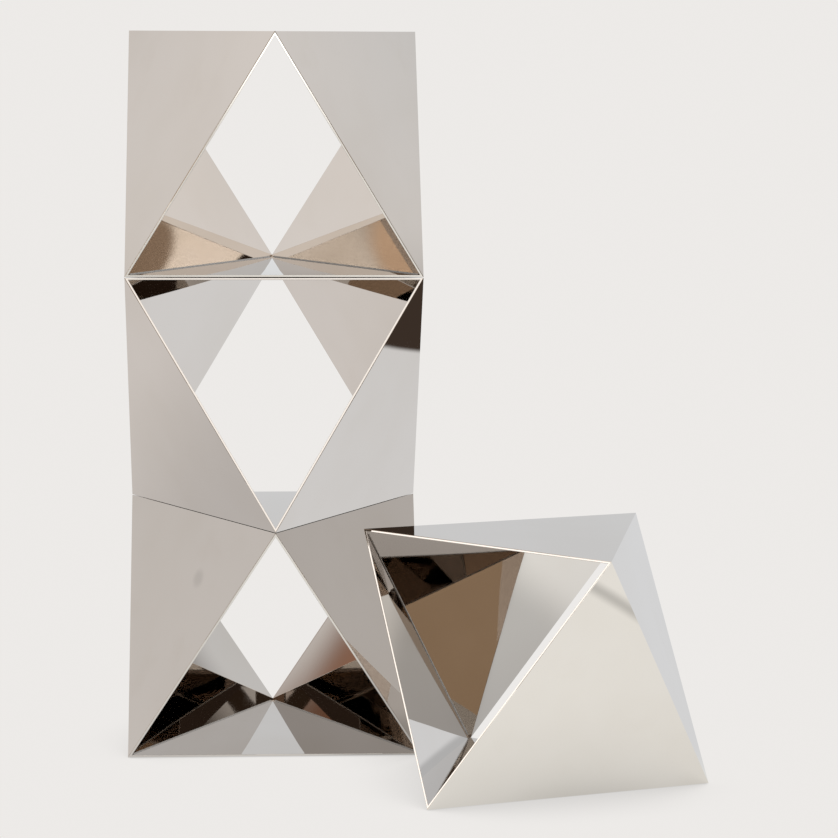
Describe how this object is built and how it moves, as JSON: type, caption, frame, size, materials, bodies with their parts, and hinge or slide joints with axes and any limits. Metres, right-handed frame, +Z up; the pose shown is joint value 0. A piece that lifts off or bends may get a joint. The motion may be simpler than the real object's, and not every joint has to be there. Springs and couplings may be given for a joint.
{
  "type": "magnetic desk sculpture",
  "caption": "Hollow mirror-polished octahedral modules with an open front and rear face, held in a stack by magnetic sheet inside their walls, and one module loose on the desk beside it.",
  "frame": {"origin": "centre of the bottom module's base, on the desk", "axes": "+Z up along the stack, -Y out of the front where the open faces of the stack look, +X towards the loose module"},
  "size_m": [0.2443, 0.2199, 0.3117],
  "materials": {
    "outer_steel": "mirror-polished stainless sheet",
    "inner_steel": "mirror-polished stainless sheet",
    "magnet_rubber": "dark flexible magnet sheet",
    "solder": "bright wiped tin solder bead"
  },
  "bodies": {
    "bottom_module": {"bottom_crown_skin": "outer_steel", "bottom_left_skin": "outer_steel", "bottom_back_left_skin": "outer_steel", "bottom_base_skin": "outer_steel", "bottom_back_right_skin": "outer_steel", "bottom_right_skin": "outer_steel", "bottom_crown_liner": "inner_steel", "bottom_left_liner": "inner_steel", "bottom_back_left_liner": "inner_steel", "bottom_base_liner": "inner_steel", "bottom_back_right_liner": "inner_steel", "bottom_right_liner": "inner_steel", "bottom_magnet_sheets": "magnet_rubber", "bottom_seam_solder": "solder"},
    "middle_module": {"middle_crown_skin": "outer_steel", "middle_left_skin": "outer_steel", "middle_back_left_skin": "outer_steel", "middle_base_skin": "outer_steel", "middle_back_right_skin": "outer_steel", "middle_right_skin": "outer_steel", "middle_crown_liner": "inner_steel", "middle_left_liner": "inner_steel", "middle_back_left_liner": "inner_steel", "middle_base_liner": "inner_steel", "middle_back_right_liner": "inner_steel", "middle_right_liner": "inner_steel", "middle_magnet_sheets": "magnet_rubber", "middle_seam_solder": "solder"},
    "top_module": {"top_crown_skin": "outer_steel", "top_left_skin": "outer_steel", "top_back_left_skin": "outer_steel", "top_base_skin": "outer_steel", "top_back_right_skin": "outer_steel", "top_right_skin": "outer_steel", "top_crown_liner": "inner_steel", "top_left_liner": "inner_steel", "top_back_left_liner": "inner_steel", "top_base_liner": "inner_steel", "top_back_right_liner": "inner_steel", "top_right_liner": "inner_steel", "top_magnet_sheets": "magnet_rubber", "top_seam_solder": "solder"},
    "loose_module": {"loose_crown_skin": "outer_steel", "loose_left_skin": "outer_steel", "loose_back_left_skin": "outer_steel", "loose_base_skin": "outer_steel", "loose_back_right_skin": "outer_steel", "loose_right_skin": "outer_steel", "loose_crown_liner": "inner_steel", "loose_left_liner": "inner_steel", "loose_back_left_liner": "inner_steel", "loose_base_liner": "inner_steel", "loose_back_right_liner": "inner_steel", "loose_right_liner": "inner_steel", "loose_magnet_sheets": "magnet_rubber", "loose_seam_solder": "solder"}
  },
  "joints": [
    {"name": "middle_swivel", "type": "hinge", "parent": "bottom_module", "child": "middle_module", "pos_m": [0, 0, 0.1037], "axis": [0, 0, 1], "continuous": true},
    {"name": "top_lift", "type": "slide", "parent": "middle_module", "child": "top_module", "axis": [0, 0, 1], "range_m": [0, 0.12]},
    {"name": "loose_slide", "type": "slide", "parent": "bottom_module", "child": "loose_module", "axis": [1, 0, 0], "range_m": [0, 0.15]}
  ]
}
